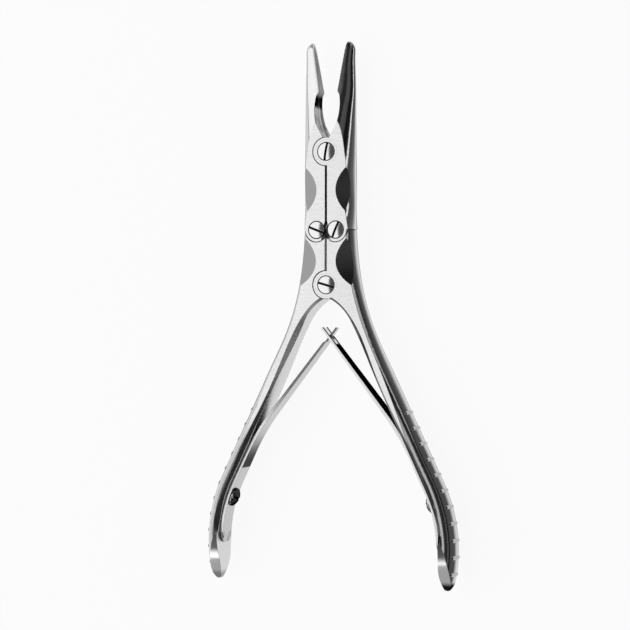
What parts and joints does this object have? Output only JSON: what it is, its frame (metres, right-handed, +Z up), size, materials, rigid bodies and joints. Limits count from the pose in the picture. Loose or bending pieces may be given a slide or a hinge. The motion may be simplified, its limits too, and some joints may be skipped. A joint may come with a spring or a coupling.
{
  "type": "bone rongeur",
  "caption": "Double-action bone rongeur with cupped jaws, screw-pivoted linkage, interlocking leaf springs and ribbed handles, shown open.",
  "frame": {"origin": "centre of the bounding box in X and Y, on the surface that it lies on", "axes": "+Y along the instrument towards the jaw tips, +X across it towards the right handle, +Z up out of the front face with the screw heads"},
  "size_m": [0.0896, 0.18, 0.0116],
  "materials": {
    "jaw_steel": "satin faces, polished sides",
    "handle_steel": "satin faces, polished grips",
    "screw_steel": "polished",
    "spring_steel": "polished"
  },
  "bodies": {
    "left_handle": {"left_handle": "handle_steel", "left_link_screw": "screw_steel", "handle_pivot_screw": "screw_steel", "left_spring": "spring_steel", "left_spring_screw": "screw_steel"},
    "right_handle": {"right_handle": "handle_steel", "right_link_screw": "screw_steel", "right_spring": "spring_steel", "right_spring_screw": "screw_steel"},
    "left_jaw": {"left_jaw": "jaw_steel", "jaw_pivot_screw": "screw_steel"},
    "right_jaw": {"right_jaw": "jaw_steel"}
  },
  "joints": [
    {"name": "handle_pivot", "type": "hinge", "parent": "left_handle", "child": "right_handle", "pos_m": [0, 0.0094, 0.0058], "axis": [0, 0, 1], "range_deg": [-27.4, 0], "stiffness_Nm_per_rad": 0.4, "springref_deg": 14.32, "deforming": ["left_spring", "right_spring"]},
    {"name": "left_link_pivot", "type": "hinge", "parent": "left_handle", "child": "left_jaw", "pos_m": [-0.0034, 0.0276, 0.0058], "axis": [0, 0, 1], "range_deg": [-23.3, 0]},
    {"name": "jaw_pivot", "type": "hinge", "parent": "left_jaw", "child": "right_jaw", "pos_m": [0, 0.0535, 0.0058], "axis": [0, 0, 1], "range_deg": [0, 19.1]}
  ],
  "couplings": [
    {"joint": "left_link_pivot", "follows": "handle_pivot", "ratio": 0.8464},
    {"joint": "jaw_pivot", "follows": "handle_pivot", "ratio": -0.693}
  ]
}
